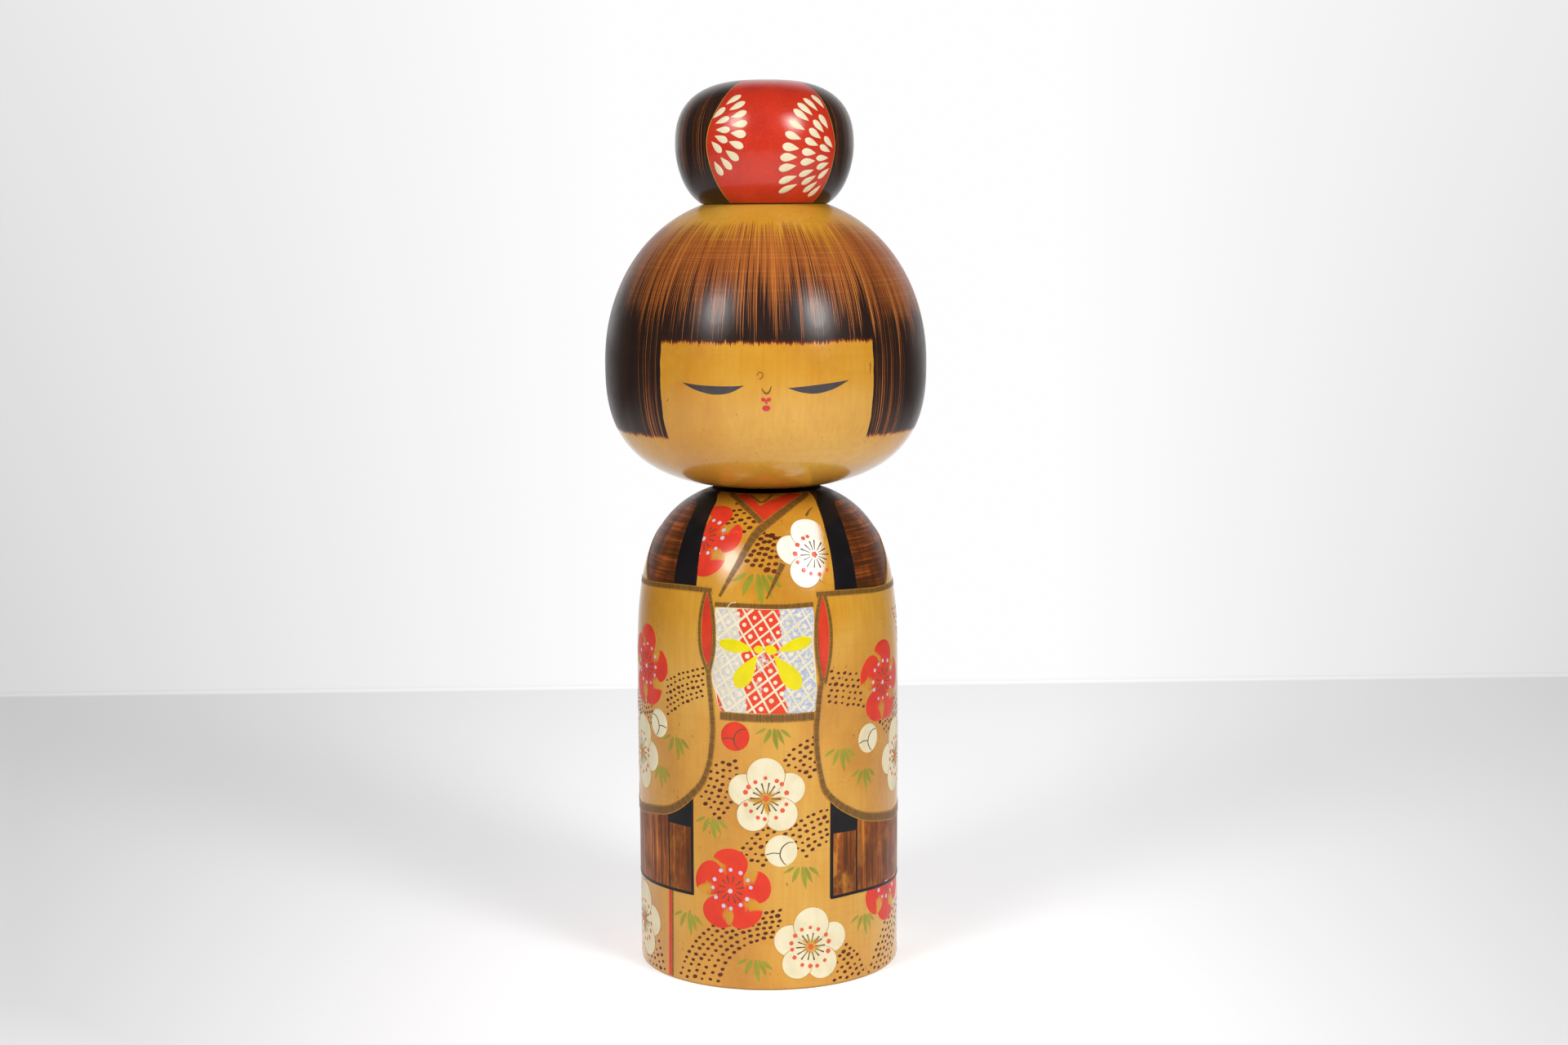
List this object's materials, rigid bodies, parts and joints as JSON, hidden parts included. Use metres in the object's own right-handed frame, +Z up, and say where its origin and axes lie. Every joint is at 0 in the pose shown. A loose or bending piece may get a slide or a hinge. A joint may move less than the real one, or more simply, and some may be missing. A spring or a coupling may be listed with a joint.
{
  "type": "kokeshi doll",
  "caption": "Standing turned wooden doll with a domed cylindrical body, a round head that swivels on a neck dowel, and a bun-shaped topknot.",
  "frame": {"origin": "centre of the torso's flat foot, on the surface that the doll stands on", "axes": "+Z up along the turning axis, the face looks along -Y, +X to the viewer's right when facing the doll"},
  "size_m": [0.1098, 0.1098, 0.303],
  "materials": {
    "torso_wood": "waxed ochre-stained wood with painted and burned decoration",
    "head_wood": "waxed ochre-stained wood, hair brushed in brown and black",
    "topknot_wood": "waxed wood brushed in brown and black, with a red panel",
    "dowel_wood": "bare turned dowel",
    "paint_white": "matt cream paint film",
    "paint_red": "satin vermilion paint film",
    "paint_yellow": "satin yellow paint film",
    "paint_green": "thin green paint wash",
    "paint_black": "matt black ink",
    "burned_line": "line burned into the wood"
  },
  "bodies": {
    "body": {"torso": "torso_wood", "neck_dowel": "dowel_wood"},
    "head": {"head": "head_wood", "topknot_dowel": "dowel_wood", "topknot": "topknot_wood"}
  },
  "joints": [
    {"name": "head_swivel", "type": "hinge", "parent": "body", "child": "head", "pos_m": [0, 0, 0.165], "axis": [0, 0, 1], "continuous": true}
  ]
}
